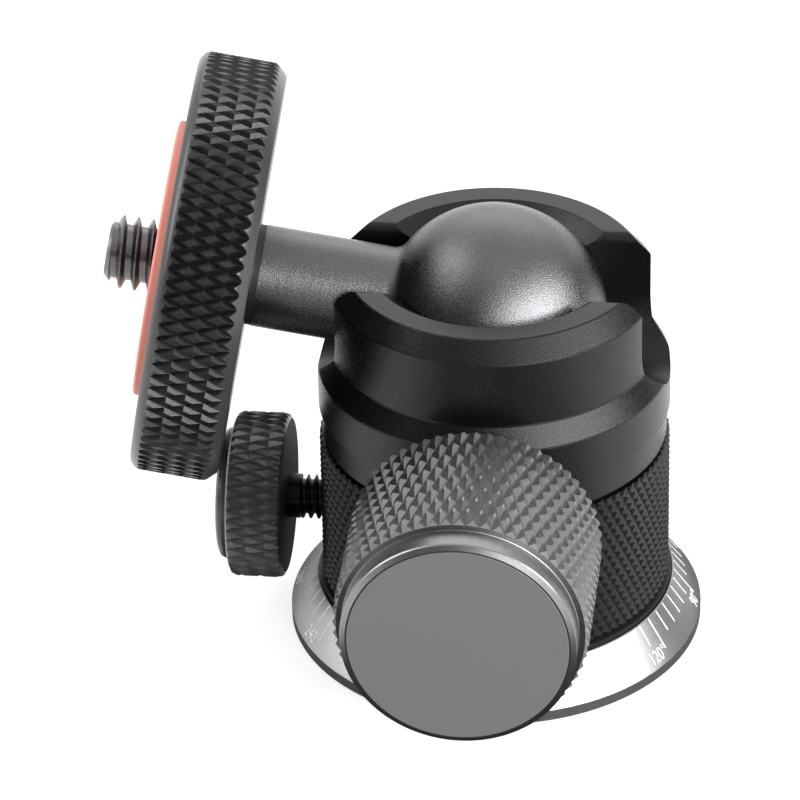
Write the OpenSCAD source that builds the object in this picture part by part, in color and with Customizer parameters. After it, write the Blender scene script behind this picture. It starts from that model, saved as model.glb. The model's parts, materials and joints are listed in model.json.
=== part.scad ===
// Tripod ball head with two drop notches, a graduated panning base and a locking disc.
// Millimetres. Z is the pan axis, z = 0 the base underside. The stem rests in the notch at -X,
// the main lock knob points to -Y and the pan lock knob to -X.

/* [Ball and stem] */
// Diameter of the ball
ball_d = 19.6; // [16:0.1:22]
// Height of the ball centre above the base underside
ball_z = 30.2; // [29.8:0.1:33]
// Diameter of the stem that joins the ball to the disc
stem_d = 8.8; // [6:0.1:9.2]
// Distance from the ball centre to the shoulder at the stem's end
stem_reach = 20.4; // [20.2:0.1:26]
// Height angle of the stem where it rests in the notch
rest_angle = 10; // [9.5:0.5:40]
// Yaw of the stem's swing plane within the play of the notches
swing_yaw = 2; // [0:0.1:2.5]
// Radius of the fillet where the stem leaves the ball
stem_fillet = 1.2; // [0.5:0.1:2.5]

/* [Locking disc] */
// Diameter of the disc over its knurl
disc_d = 36.3; // [30:0.1:37]
// Thickness of the disc
disc_t = 7.6; // [5:0.05:9]
// Width of the rounded bevel on each rim of the disc
disc_bevel = 0.9; // [0.3:0.1:1.5]
// Number of main grooves in the disc's knurl
disc_grooves = 54; // [30:1:80]
// Depth of the disc's knurl
disc_knurl_depth = 0.4; // [0.2:0.05:0.6]
// Diameter of the rubber pad
pad_d = 23.8; // [14:0.1:28]
// Depth of the pad's recess in the disc
pad_depth = 0.9; // [0.5:0.1:2]
// Height of the pad above the disc face
pad_proud = 0.8; // [0.3:0.05:1.5]
// Thickness of the friction washer behind the disc
disc_washer_t = 0.5; // [0.3:0.1:1]

/* [Camera stud] */
// Diameter of the stud over its thread crests
stud_d = 6.3; // [5:0.05:8]
// Length of stud that stands above the pad
stud_reach = 4.2; // [3.5:0.1:5.5]
// Diameter of the stud's chamfered tip
stud_tip_d = 4.3; // [3:0.1:4.8]
// Depth of the stud's shank inside the stem
stud_depth = 9; // [5:0.5:10]
// Depth of the relief that makes the shank thinner than the thread
stud_relief = 0.2; // [0.1:0.05:0.4]
// Length of the relief that stays above the pad
stud_undercut = 0.1; // [0.05:0.05:0.3]

/* [Housing] */
// Height of the flat top rim
body_top_z = 35.6; // [35.2:0.1:38]
// Outer diameter of the flat top rim
rim_outer_d = 25.3; // [24:0.1:26.5]
// Inner diameter of the flat top rim
rim_inner_d = 21.1; // [20.4:0.1:22]
// Height of the bevel between the flat rim and the upper wall
top_bevel_h = 1.65; // [0.5:0.05:2.5]
// Diameter of the upper wall
upper_d = 28.2; // [27.5:0.1:29.5]
// Height where the upper wall meets the ledge
ledge_top_z = 27.9; // [27:0.1:29]
// Height where the ledge meets the collar
ledge_low_z = 26.0; // [24.5:0.1:26.5]
// Diameter of the collar under the ledge
collar_d = 30.4; // [30:0.1:32]
// Height of the fine line under the collar
collar_low_z = 22.1; // [21:0.1:24]
// Diameter of the narrow band under the collar
band_d = 29.8; // [29:0.1:30.2]
// Height of the lower edge of the narrow band
band_low_z = 19.3; // [18:0.1:20.5]
// Diameter of the body over its knurl
knurl_d = 30.4; // [29.5:0.1:31]
// Depth of the groove above the knurl
groove_depth = 0.5; // [0.2:0.1:1]
// Height of the groove above the knurl
groove_h = 0.3; // [0.2:0.1:0.8]
// Height of the housing's underside
body_low_z = 5.0; // [4.9:0.1:5.2]
// Bevel at the housing's lower edge
body_low_bevel = 0.25; // [0.1:0.05:0.5]
// Half width of the drop notches
notch_half = 5.2; // [4.9:0.1:5.6]
// Radius of the rounded edges at the top of the notches
notch_round = 0.8; // [0.3:0.1:1.2]
// Gap between the ball and its socket
socket_gap = 0.25; // [0.15:0.05:0.35]
// Width of the socket's inner lip edge
lip_d = 18.2; // [18:0.1:18.6]

/* [Panning base] */
// Diameter of the base rim
base_d = 36.1; // [33:0.1:40]
// Height of the plain rim
rim_h = 1.2; // [0.8:0.1:2]
// Width of the flat shelf between the graduated cone and the thrust washer
cone_shelf = 0.2; // [0.1:0.05:0.6]
// Height of the top of the graduated cone
cone_top_z = 4.5; // [4:0.1:4.6]
// Bevel at the base's lower edge
base_bevel = 0.2; // [0.1:0.05:0.4]
// Width of the thrust washer that shows around the housing
pan_washer_proud = 0.2; // [0:0.05:0.5]
// Bore of the thrust washer
pan_washer_bore = 23; // [22.5:0.1:25]
// Running gap above the thrust washer
pan_gap = 0.05; // [0.03:0.01:0.1]

/* [Pan hub] */
// Diameter of the hub's boss
hub_boss_d = 17.2; // [16.5:0.1:17.6]
// Height of the underside of the hub's flange
flange_low_z = 8.4; // [8.3:0.05:8.6]
// Thickness of the hub's flange
flange_t = 4.9; // [4.4:0.1:5]
// Diameter at the bottom of the hub's locking groove
hub_groove_d = 18.4; // [18:0.1:18.8]
// Height of the hub's locking groove
hub_groove_h = 3.6; // [3.4:0.1:3.8]
// Radial gap between a moving cylinder and its bore
run_gap = 0.06; // [0.03:0.01:0.09]
// Diameter of the hub's flange
flange_d = 19.9; // [19.4:0.1:20]
// Outer diameter of the retaining ring
ring_d = 21.8; // [21.2:0.1:22.4]
// Thickness of the retaining ring
ring_t = 3.0; // [2:0.1:3.1]
// Thickness of the washer under the hub's flange
hub_washer_t = 0.2; // [0.1:0.05:0.22]

/* [Tripod thread] */
// Diameter of the threaded bore in the bush
tripod_bore_d = 5.2; // [5:0.05:6]
// Outer diameter of the threaded bush
bush_d = 8.4; // [8:0.1:8.6]
// Length of the threaded bush
bush_len = 9.5; // [8:0.5:10.5]

/* [Hub screws] */
// Number of screws that hold the hub on the base
hub_screw_n = 3; // [3:1:6]
// Radius of the circle that the hub screws lie on
hub_screw_r = 6.8; // [6.6:0.1:7]
// Thread diameter of the hub screws
hub_screw_d = 2.5; // [2:0.1:3]
// Head diameter of the hub screws
hub_head_d = 4.4; // [3.5:0.1:4.6]
// Depth of the screw heads below the underside
hub_head_sink = 0.3; // [0.1:0.1:0.6]
// Length of the hub screws
hub_screw_len = 9.5; // [7:0.5:11]

/* [Ball cup] */
// Diameter of the cup that presses on the ball
cup_d = 19.9; // [19.4:0.1:20]
// Height of the cup's underside
cup_low_z = 14.6; // [14.5:0.05:14.8]
// Height of the cup's rim
cup_top_z = 24.8; // [24:0.1:24.9]
// Thickness of the plastic seat in the cup
seat_t = 0.8; // [0.5:0.1:1]
// Gap between the ball and its seat
seat_gap = 0.04; // [0.02:0.01:0.1]
// Hole in the middle of the seat
seat_hole_d = 7; // [4:0.5:9]
// Drop of the cup when the main lock is opened
cup_drop = 0.25; // [0.1:0.05:0.4]
// Thickness of the disc spring under the cup
spring_t = 0.4; // [0.3:0.05:0.6]
// Outer diameter of the disc spring
spring_d = 16; // [12:0.5:19]
// Bore of the disc spring
spring_bore = 8.2; // [6:0.2:10]

/* [Main lock] */
// Height of the main lock's axis
lock_z = 18.3; // [18:0.1:18.5]
// Thread diameter of the lock screw
lock_screw_d = 5.9; // [5:0.1:6]
// Distance of the lock screw's tip from the pan axis
lock_tip_y = 6.4; // [6:0.1:7]
// Diameter of the lock screw's tip
lock_tip_d = 2.4; // [1.5:0.1:3]
// Length of the cone at the lock screw's tip
lock_cone_len = 3.2; // [2.5:0.1:3.5]
// Diameter of the spot face under the lock washer
spot_d = 9.6; // [9:0.1:10.5]
// Depth of the spot face below the body's skin
spot_sink = 1.0; // [0.8:0.05:1.6]
// Outer diameter of the lock washer
lock_washer_d = 8.8; // [7.5:0.1:8.9]
// Thickness of the lock washer
lock_washer_t = 0.9; // [0.5:0.1:1.2]
// Gap between the body and the back of the lock knob
lock_knob_gap = 1.1; // [0.8:0.1:3]
// Diameter of the lock knob over its knurl
lock_knob_d = 21.4; // [18:0.1:22]
// Length of the knurled part of the lock knob
lock_knurl_len = 13.85; // [10:0.05:16]
// Bevel at each end of the knurl
lock_bevel = 0.35; // [0.2:0.05:0.8]
// Number of main grooves in the lock knob's knurl
lock_grooves = 32; // [20:1:50]
// Depth of the lock knob's knurl
lock_knurl_depth = 0.4; // [0.2:0.05:0.6]
// Diameter of the lock knob's face step
lock_step_d = 19.66; // [16:0.02:20.2]
// Length of the face step
lock_step_len = 2.3; // [1:0.1:3.5]
// Diameter of the cap in the lock knob's face
lock_cap_d = 18.4; // [14:0.1:18.8]
// Thickness of the cap
lock_cap_t = 1.0; // [0.6:0.1:2]
// Height of the cap above the step
lock_cap_proud = 0.15; // [0.05:0.05:0.5]
// Depth of the lock screw in the knob
lock_screw_seat = 6; // [4:0.5:7]
// Thickness of the web that the knob's fixing screw clamps
lock_web_t = 2; // [1:0.25:3]
// Thread diameter of the knob's fixing screw
fix_screw_d = 2.5; // [2:0.1:3]
// Length of the fixing screw below its head
fix_screw_len = 6; // [4:0.5:7]
// Wall around the knob's front recess
lock_knob_wall = 2; // [1.2:0.1:3]

/* [Pan lock] */
// Height of the pan lock's axis
pan_z = 10.85; // [10.5:0.05:10.95]
// Thread diameter of the pan lock screw
pan_screw_d = 3.9; // [3.4:0.1:4]
// Play left between the pad and the hub when the pan lock is open
pan_play = 0.6; // [0.55:0.05:1]
// Diameter of the pad at the pan screw's tip
pan_pad_d = 3.1; // [2.5:0.1:3.3]
// Length of the pad
pan_pad_len = 2; // [1:0.1:2.5]
// Distance of the pan knob's back inside the stem's reach, so that the disc clears the knob
pan_knob_inset = 2.2; // [2:0.1:3]
// Diameter of the pan knob over its knurl
pan_knob_d = 14.5; // [11:0.1:14.8]
// Bevel of the pan knob's back
pan_bevel = 0.5; // [0.2:0.05:1]
// Length of the knurled part of the pan knob
pan_knurl_len = 4.3; // [3:0.05:4.6]
// Bevel at the outer end of the pan knob's knurl
pan_end_bevel = 0.6; // [0.3:0.05:0.8]
// Number of main grooves in the pan knob's knurl
pan_grooves = 22; // [12:1:36]
// Depth of the pan knob's knurl
pan_knurl_depth = 0.3; // [0.15:0.05:0.5]
// Diameter of the pan knob's outer boss
pan_boss_d = 11.5; // [9:0.1:11.8]
// Length of the outer boss
pan_boss_len = 1.0; // [0.5:0.05:1.1]
// Diameter of the cap in the outer boss
pan_cap_d = 9.6; // [7:0.1:10]
// Thickness of that cap
pan_cap_t = 0.8; // [0.5:0.05:1.5]

/* [Hidden] */
$fn = 120;
eps = 0.01;
far = 60;
fit = 0.02;              // gap between pieces that are fastened together
anodised = [0.13, 0.13, 0.14];
gunmetal = [0.35, 0.35, 0.37];
steel = [0.62, 0.62, 0.64];
ball_r = ball_d / 2;
socket_r = ball_r + socket_gap;
body_d = max(collar_d, band_d, knurl_d);
pan_washer_d = body_d + 2 * pan_washer_proud;
cone_top_d = pan_washer_d + 2 * cone_shelf;
knurl_top_z = band_low_z - groove_h;
flange_top_z = flange_low_z + flange_t;
hub_groove_low = pan_z - hub_groove_h / 2;
hub_groove_top = pan_z + hub_groove_h / 2;
ring_low_z = flange_low_z - hub_washer_t - 2 * fit - ring_t;
spot_y = body_d / 2 - spot_sink;
washer_face_y = spot_y + fit;
lock_knob_y = body_d / 2 + lock_knob_gap;
pan_knob_x = stem_reach - pan_knob_inset;
disc_back = stem_reach + disc_washer_t + 2 * fit;
disc_front = disc_back + disc_t;
pad_front = disc_front + pad_proud;
stud_tip = pad_front + stud_reach;
stud_chamfer = (stud_d - stud_tip_d) / 2;
shank_d = stud_d - 2 * stud_relief;
thread_low = pad_front + stud_undercut;
lock_face = lock_knob_y + lock_knurl_len + lock_step_len;
pan_face = pan_knob_x + pan_bevel + pan_knurl_len + pan_boss_len;
pan_pad_x = hub_groove_d / 2 + pan_play;
pan_screw_x = pan_pad_x + pan_pad_len + fit;
lock_web_y = lock_knob_y + lock_screw_seat + fit;
fix_head_y = lock_web_y + lock_web_t + fit;

// Places children on the stem's axis: their +Z runs from the ball centre to the camera
module on_stem() {
    translate([0, 0, ball_z])
        rotate([0, 0, 180 + swing_yaw])
            rotate([0, 90 - rest_angle, 0])
                children();
}

// Places children on the main lock's axis: their +Z runs from the pan axis outwards
module on_lock() {
    translate([0, 0, lock_z]) rotate([90, 0, 0]) children();
}

// Places children on the pan lock's axis: their +Z runs from the pan axis outwards
module on_pan() {
    translate([0, 0, pan_z]) rotate([0, -90, 0]) children();
}

// Solid or ring turned from a list of [radius, height] points
module turned(points) {
    rotate_extrude() polygon(points);
}

// Cylinder with a bevel on both rims
module bevelled(d, h, low, high) {
    foot = low > 0 ? [[d / 2 - low, 0], [d / 2, low]] : [[d / 2, 0]];
    turned(concat([[0, 0]], foot, [[d / 2, h - high], [d / 2 - high, h], [0, h]]));
}

module ring(d, bore, h) {
    difference() {
        cylinder(d = d, h = h);
        translate([0, 0, -eps]) cylinder(d = bore, h = h + 2 * eps);
    }
}

// V grooves of a right angle around a knob of diameter d, over its height h
module knurl_grooves(d, h, count, depth) {
    for (i = [0 : count - 1])
        rotate([0, 0, (i + 0.5) * 360 / count]) translate([d / 2, 0, -eps])
            linear_extrude(h + 2 * eps)
                polygon([[-depth, 0], [depth, -2 * depth], [depth, 2 * depth]]);
}

// Hexagon socket for a screw of thread diameter d; its opening is at z = 0
module hexagon_socket(d) {
    translate([0, 0, -eps]) linear_extrude(d / 2) circle(d = d * 0.7, $fn = 6);
}

module around_hub() {
    for (i = [0 : hub_screw_n - 1])
        rotate([0, 0, 90 + i * 360 / hub_screw_n]) translate([hub_screw_r, 0, 0]) children();
}

// Screw with a countersunk head, head down at z = 0
module countersunk(d, head_d, len, grow = 0) {
    head_h = (head_d - d) / 2;
    translate([0, 0, -grow])
        turned([[0, 0], [head_d / 2 + grow, 0], [d / 2 + grow, head_h + grow],
            [d / 2 + grow, len + 2 * grow], [0, len + 2 * grow]]);
}

// Graduated base that stays with the tripod
module base_ring() {
    color([0.75, 0.75, 0.76])
        difference() {
            turned([[0, 0], [base_d / 2 - base_bevel, 0], [base_d / 2, base_bevel],
                [base_d / 2, rim_h], [cone_top_d / 2, cone_top_z], [0, cone_top_z]]);
            translate([0, 0, -eps]) cylinder(d = bush_d + 2 * fit, h = cone_top_z + 2 * eps);
            around_hub() {
                translate([0, 0, hub_head_sink])
                    countersunk(hub_screw_d, hub_head_d, hub_screw_len, fit);
                translate([0, 0, -eps])
                    cylinder(d = hub_head_d + 2 * fit, h = hub_head_sink + eps);
            }
        }
}

// Hub bolted to the base; its flange keeps the housing down and takes the pan lock's pad
module pan_hub() {
    color(steel)
        difference() {
            turned([[0, cone_top_z], [hub_boss_d / 2, cone_top_z], [hub_boss_d / 2, flange_low_z],
                [flange_d / 2, flange_low_z], [flange_d / 2, hub_groove_low],
                [hub_groove_d / 2, hub_groove_low], [hub_groove_d / 2, hub_groove_top],
                [flange_d / 2, hub_groove_top], [flange_d / 2, flange_top_z],
                [0, flange_top_z]]);
            translate([0, 0, cone_top_z - eps])
                cylinder(d = bush_d + 2 * fit, h = bush_len + fit - cone_top_z + eps);
            around_hub()
                translate([0, 0, hub_head_sink])
                    countersunk(hub_screw_d, hub_head_d, hub_screw_len, fit);
        }
}

module hub_screws() {
    color(steel)
        around_hub()
            translate([0, 0, hub_head_sink])
                difference() {
                    countersunk(hub_screw_d, hub_head_d, hub_screw_len);
                    hexagon_socket(hub_screw_d);
                }
}

// Threaded bush that screws onto the tripod
module tripod_bush() {
    color([0.72, 0.6, 0.3]) ring(bush_d, tripod_bore_d, bush_len);
}

module pan_washer() {
    color("black")
        translate([0, 0, cone_top_z])
            ring(pan_washer_d, pan_washer_bore, body_low_z - pan_gap - cone_top_z);
}

// Outline of a drop notch across its width: a round bottom and rounded upper edges
module notch_outline() {
    rim = body_top_z - ball_z;
    circle(r = notch_half);
    translate([-notch_half, 0]) square([2 * notch_half, rim + 1]);
    for (side = [-1, 1])
        difference() {
            translate([side * (notch_half + notch_round / 2), rim - notch_round / 2 + eps])
                square([notch_round + eps, notch_round + eps], center = true);
            translate([side * (notch_half + notch_round), rim - notch_round])
                circle(r = notch_round);
        }
}

module housing_blank() {
    turned([[0, body_low_z], [knurl_d / 2 - body_low_bevel, body_low_z],
        [knurl_d / 2, body_low_z + body_low_bevel], [knurl_d / 2, knurl_top_z],
        [band_d / 2 - groove_depth, knurl_top_z], [band_d / 2 - groove_depth, band_low_z],
        [band_d / 2, band_low_z], [band_d / 2, collar_low_z], [collar_d / 2, collar_low_z],
        [collar_d / 2, ledge_low_z], [upper_d / 2, ledge_top_z],
        [upper_d / 2, body_top_z - top_bevel_h], [rim_outer_d / 2, body_top_z],
        [0, body_top_z]]);
}

// Space inside the housing: socket, straight bore and the retaining ring's counterbore
module housing_bore() {
    lip_z = ball_z + sqrt(pow(socket_r, 2) - pow(lip_d / 2, 2));
    intersection() {
        translate([0, 0, ball_z]) sphere(r = socket_r);
        translate([0, 0, body_low_z]) cylinder(d = far, h = lip_z - body_low_z);
    }
    translate([0, 0, body_low_z - eps])
        cylinder(r = socket_r, h = ball_z - body_low_z + eps);
    translate([0, 0, lip_z - eps])
        cylinder(d1 = lip_d, d2 = rim_inner_d, h = body_top_z - lip_z + 2 * eps);
    translate([0, 0, body_low_z - eps])
        cylinder(d = ring_d + 2 * fit, h = ring_low_z + ring_t + fit - body_low_z + eps);
}

module housing() {
    color(anodised)
        difference() {
            housing_blank();
            housing_bore();
            translate([0, 0, ball_z]) rotate([90, 0, 90])
                linear_extrude(far, center = true) notch_outline();
            on_lock() {
                cylinder(d = lock_screw_d + 2 * run_gap, h = far);
                translate([0, 0, spot_y]) cylinder(d = spot_d, h = far);
            }
            on_pan() cylinder(d = pan_screw_d + 2 * run_gap, h = far);
        }
}

// Threaded ring that closes the housing under the hub's flange
module retaining_ring() {
    color(steel)
        translate([0, 0, ring_low_z]) ring(ring_d, hub_boss_d + 2 * run_gap, ring_t);
}

module hub_washer() {
    color("white")
        translate([0, 0, flange_low_z - hub_washer_t - fit])
            ring(2 * socket_r - 2 * fit, hub_boss_d + 4 * run_gap, hub_washer_t);
}

// Cone-shaped spring that keeps the cup against the ball
module cup_spring() {
    top = cup_low_z - cup_drop - fit;
    low = flange_top_z + run_gap;
    color(steel)
        turned([[spring_bore / 2, top - spring_t], [spring_d / 2, low],
            [spring_d / 2, low + spring_t], [spring_bore / 2, top]]);
}

// Sliding cup with the conical side recess that the lock screw wedges up
module ball_cup() {
    color([0.75, 0.62, 0.32])
        difference() {
            translate([0, 0, cup_low_z]) cylinder(d = cup_d, h = cup_top_z - cup_low_z);
            translate([0, 0, ball_z]) sphere(r = ball_r + seat_gap + seat_t + fit);
            on_lock()
                turned([[0, lock_tip_y - 2 * run_gap], [lock_tip_d / 2 + 2 * run_gap,
                    lock_tip_y - 2 * run_gap], [lock_screw_d / 2 + 2 * run_gap,
                    lock_tip_y + lock_cone_len], [lock_screw_d / 2 + 2 * run_gap, cup_d],
                    [0, cup_d]]);
        }
}

module cup_seat() {
    outer = ball_r + seat_gap + seat_t;
    color("ivory")
        difference() {
            intersection() {
                translate([0, 0, ball_z]) sphere(r = outer);
                translate([0, 0, ball_z - outer]) cylinder(r = far, h = cup_top_z - ball_z + outer);
            }
            translate([0, 0, ball_z]) sphere(r = ball_r + seat_gap);
            translate([0, 0, cup_low_z]) cylinder(d = seat_hole_d, h = ball_z - cup_low_z);
        }
}

// Ball and stem turned in one piece, with the stud's threaded hole in its end
module ball_stem() {
    stem_r = stem_d / 2;
    fillet_x = stem_r + stem_fillet;
    fillet_z = sqrt(pow(ball_r + stem_fillet, 2) - pow(fillet_x, 2));
    blend_x = fillet_x * ball_r / (ball_r + stem_fillet);
    blend_z = fillet_z * ball_r / (ball_r + stem_fillet);
    color(gunmetal)
        on_stem()
            difference() {
                union() {
                    sphere(r = ball_r);
                    cylinder(r = stem_r, h = stem_reach);
                    rotate_extrude()
                        difference() {
                            polygon([[0, 0], [blend_x, blend_z], [fillet_x, fillet_z], [0, fillet_z]]);
                            translate([fillet_x, fillet_z]) circle(r = stem_fillet);
                        }
                }
                translate([0, 0, stem_reach - stud_depth - fit])
                    cylinder(d = shank_d + 2 * fit, h = stud_depth + 1);
            }
}

// Camera stud; its shank inside the disc and the stem is thinner than the free thread
module camera_stud() {
    color(gunmetal)
        on_stem()
            turned([[0, stem_reach - stud_depth], [shank_d / 2, stem_reach - stud_depth],
                [shank_d / 2, thread_low], [stud_d / 2, thread_low],
                [stud_d / 2, stud_tip - stud_chamfer], [stud_tip_d / 2, stud_tip], [0, stud_tip]]);
}

module disc_washer() {
    color("black")
        on_stem()
            translate([0, 0, stem_reach + fit])
                ring(stem_d, stud_d + 2 * run_gap, disc_washer_t);
}

module lock_disc() {
    color(anodised)
        on_stem()
            translate([0, 0, disc_back])
                difference() {
                    bevelled(disc_d, disc_t, disc_bevel, disc_bevel);
                    translate([0, 0, -eps]) cylinder(d = stud_d + 2 * run_gap, h = disc_t + 2 * eps);
                    translate([0, 0, disc_t - pad_depth]) cylinder(d = pad_d + 2 * fit, h = disc_t);
                    knurl_grooves(disc_d, disc_t, disc_grooves, disc_knurl_depth);
                }
}

module disc_pad() {
    color([0.86, 0.3, 0.25])
        on_stem()
            translate([0, 0, disc_front - pad_depth])
                ring(pad_d, stud_d + 4 * run_gap, pad_depth + pad_proud);
}

module lock_washer() {
    color(steel)
        on_lock() translate([0, 0, washer_face_y])
            ring(lock_washer_d, lock_screw_d + 2 * run_gap, lock_washer_t);
}

// Screw with a cone tip that wedges the cup upwards
module lock_screw() {
    tail = lock_knob_y + lock_screw_seat;
    color(steel)
        on_lock()
            difference() {
                turned([[0, lock_tip_y], [lock_tip_d / 2, lock_tip_y],
                    [lock_screw_d / 2, lock_tip_y + lock_cone_len], [lock_screw_d / 2, tail],
                    [0, tail]]);
                translate([0, 0, fix_head_y - fix_screw_len - fit])
                    cylinder(d = fix_screw_d + 2 * fit, h = far);
            }
}

// Knob with a back hub that meets the washer and a recess under its cap
module lock_knob() {
    hub_y = washer_face_y + lock_washer_t + fit;
    cap_y = lock_face - lock_cap_t + lock_cap_proud;
    color(gunmetal)
        on_lock()
            difference() {
                union() {
                    translate([0, 0, lock_knob_y])
                        bevelled(lock_knob_d, lock_knurl_len, lock_bevel, lock_bevel);
                    translate([0, 0, lock_knob_y + lock_bevel])
                        bevelled(lock_step_d, lock_face - lock_knob_y - lock_bevel, 0, lock_bevel);
                    translate([0, 0, hub_y])
                        cylinder(d = lock_washer_d, h = lock_knob_y + lock_bevel - hub_y);
                }
                translate([0, 0, hub_y - eps])
                    cylinder(d = lock_screw_d + 2 * fit, h = lock_web_y - hub_y + eps);
                translate([0, 0, hub_y]) cylinder(d = fix_screw_d + 4 * fit, h = far);
                translate([0, 0, lock_web_y + lock_web_t])
                    cylinder(d = lock_cap_d - 2 * lock_knob_wall, h = far);
                translate([0, 0, cap_y - fit]) cylinder(d = lock_cap_d + 2 * fit, h = far);
                translate([0, 0, lock_knob_y])
                    knurl_grooves(lock_knob_d, lock_knurl_len, lock_grooves, lock_knurl_depth);
            }
}

// Screw under the cap that holds the knob on the lock screw
module lock_knob_screw() {
    head_h = fix_screw_d;
    color(steel)
        on_lock()
            difference() {
                union() {
                    translate([0, 0, fix_head_y - fix_screw_len])
                        cylinder(d = fix_screw_d, h = fix_screw_len + eps);
                    translate([0, 0, fix_head_y]) cylinder(d = 2 * fix_screw_d, h = head_h);
                }
                translate([0, 0, fix_head_y + head_h]) mirror([0, 0, 1])
                    hexagon_socket(2 * fix_screw_d);
            }
}

module lock_knob_cap() {
    color(gunmetal)
        on_lock() translate([0, 0, lock_face - lock_cap_t + lock_cap_proud])
            bevelled(lock_cap_d, lock_cap_t, 0, lock_cap_proud);
}

module pan_lock_pad() {
    color([0.75, 0.62, 0.32])
        on_pan() translate([0, 0, pan_pad_x]) cylinder(d = pan_pad_d, h = pan_pad_len);
}

module pan_lock_screw() {
    tail = pan_face - pan_cap_t - 2 * fit;
    color(steel)
        on_pan() translate([0, 0, pan_screw_x]) cylinder(d = pan_screw_d, h = tail - pan_screw_x);
}

module pan_knob() {
    color(anodised)
        on_pan()
            difference() {
                union() {
                    translate([0, 0, pan_knob_x])
                        bevelled(pan_knob_d, pan_bevel + pan_knurl_len, pan_bevel, pan_end_bevel);
                    translate([0, 0, pan_knob_x + pan_bevel])
                        bevelled(pan_boss_d, pan_knurl_len + pan_boss_len, 0, pan_bevel);
                }
                translate([0, 0, pan_knob_x - eps])
                    cylinder(d = pan_screw_d + 2 * fit, h = far);
                translate([0, 0, pan_face - pan_cap_t - fit])
                    cylinder(d = pan_cap_d + 2 * fit, h = far);
                translate([0, 0, pan_knob_x])
                    knurl_grooves(pan_knob_d, pan_bevel + pan_knurl_len, pan_grooves, pan_knurl_depth);
            }
}

module pan_knob_cap() {
    color(anodised)
        on_pan() translate([0, 0, pan_face - pan_cap_t]) cylinder(d = pan_cap_d, h = pan_cap_t);
}

base_ring();
pan_hub();
hub_screws();
tripod_bush();
pan_washer();
housing();
retaining_ring();
hub_washer();
cup_spring();
ball_cup();
cup_seat();
ball_stem();
camera_stud();
disc_washer();
lock_disc();
disc_pad();
lock_washer();
lock_screw();
lock_knob();
lock_knob_screw();
lock_knob_cap();
pan_lock_pad();
pan_lock_screw();
pan_knob();
pan_knob_cap();
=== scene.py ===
"""Dressed scene of a tripod ball head: knurls, threads, dial marks, finishes, camera and light."""
import json
import math

import bpy
import bmesh
from mathutils import Matrix, Vector


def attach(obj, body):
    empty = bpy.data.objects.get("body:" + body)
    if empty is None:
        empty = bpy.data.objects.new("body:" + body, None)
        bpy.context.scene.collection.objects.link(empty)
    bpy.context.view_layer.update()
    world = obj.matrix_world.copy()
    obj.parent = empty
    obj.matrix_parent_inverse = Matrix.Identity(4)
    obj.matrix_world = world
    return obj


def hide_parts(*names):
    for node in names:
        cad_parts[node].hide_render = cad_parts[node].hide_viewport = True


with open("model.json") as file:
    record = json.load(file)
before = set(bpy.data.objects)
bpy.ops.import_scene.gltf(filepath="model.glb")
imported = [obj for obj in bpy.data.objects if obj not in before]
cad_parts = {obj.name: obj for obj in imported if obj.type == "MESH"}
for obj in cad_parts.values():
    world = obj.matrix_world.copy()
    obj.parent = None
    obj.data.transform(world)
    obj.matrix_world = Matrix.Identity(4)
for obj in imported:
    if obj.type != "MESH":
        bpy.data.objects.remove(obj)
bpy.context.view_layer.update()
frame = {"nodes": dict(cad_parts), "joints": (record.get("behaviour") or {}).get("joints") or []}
nodes = frame["nodes"]
joints = {j["name"]: j for j in frame["joints"]}

MM = 0.001               # pieces are built in millimetres and turn into metres when they are placed
TAU = 2 * math.pi
ROUND = 288              # steps around a turned piece
SMOOTH_BELOW = math.radians(20)
GAP = 0.02               # clearance between dressed pieces that fit in each other

# Sizes that the frame's boxes don't give, in millimetres, as in the CAD source
STEM_R, STEM_END = 4.4, 20.4
DISC_BACK, DISC_T, DISC_R, DISC_BEVEL = 20.94, 7.6, 18.15, 0.75
PAD_R, PAD_DEPTH, PAD_PROUD = 11.9, 0.9, 0.8
STUD_R, STUD_ROOT, STUD_PITCH, STUD_REACH, STUD_DEPTH, STUD_TIP_R = 3.15, 2.38, 1.27, 4.2, 9.0, 2.15
SHANK_R, UNDERCUT = 2.95, 0.1
BODY_LOW, BODY_R, KNURL_TOP, BAND_R, BAND_LOW = 5.0, 15.2, 19.0, 14.9, 19.3
COLLAR_LOW, LEDGE_LOW, LEDGE_TOP, UPPER_R = 22.1, 26.0, 27.9, 14.1
RIM_R, MOUTH_R, BODY_TOP, TOP_BEVEL = 12.65, 10.55, 35.6, 1.65
BALL_Z, SOCKET_R, LIP_R, NOTCH_HALF, NOTCH_ROUND = 30.2, 10.05, 9.1, 5.2, 0.8
BORE_R, BORE_TOP, MOUTH_BEVEL = 10.92, 8.18, 0.12
BASE_R, RIM_H, CONE_TOP_R, CONE_TOP = 18.05, 1.2, 15.6, 4.5
LOCK_Z, LOCK_BACK, LOCK_R, LOCK_KNURL, LOCK_BEVEL = 18.3, 16.3, 10.7, 13.85, 0.35
LOCK_STEP_R, LOCK_STEP, LOCK_CAP_R, LOCK_HUB_R, LOCK_HUB = 9.83, 2.3, 9.2, 4.4, 15.14
LOCK_POCKET_R, LOCK_POCKET, LOCK_CAP_T, LOCK_CAP_PROUD = 7.2, 24.34, 0.87, 0.06
SPOT_R, SPOT_Y, LOCK_HOLE_R, LOCK_BORE_R = 4.8, 14.2, 3.01, 2.97
PAN_Z, PAN_BACK, PAN_R, PAN_BEVEL, PAN_KNURL, PAN_END = 10.85, 18.2, 7.25, 0.5, 4.3, 0.6
PAN_BOSS_R, PAN_BOSS, PAN_CAP_R, PAN_CAP_T, PAN_HOLE_R = 5.75, 1.0, 4.8, 0.8, 2.01
PAN_SCREW_R, PAN_SCREW_ROOT, PAN_PITCH, PAN_SCREW_TIP, PAN_SHOULDER = 1.95, 1.52, 0.7, 11.82, 1.1
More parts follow.
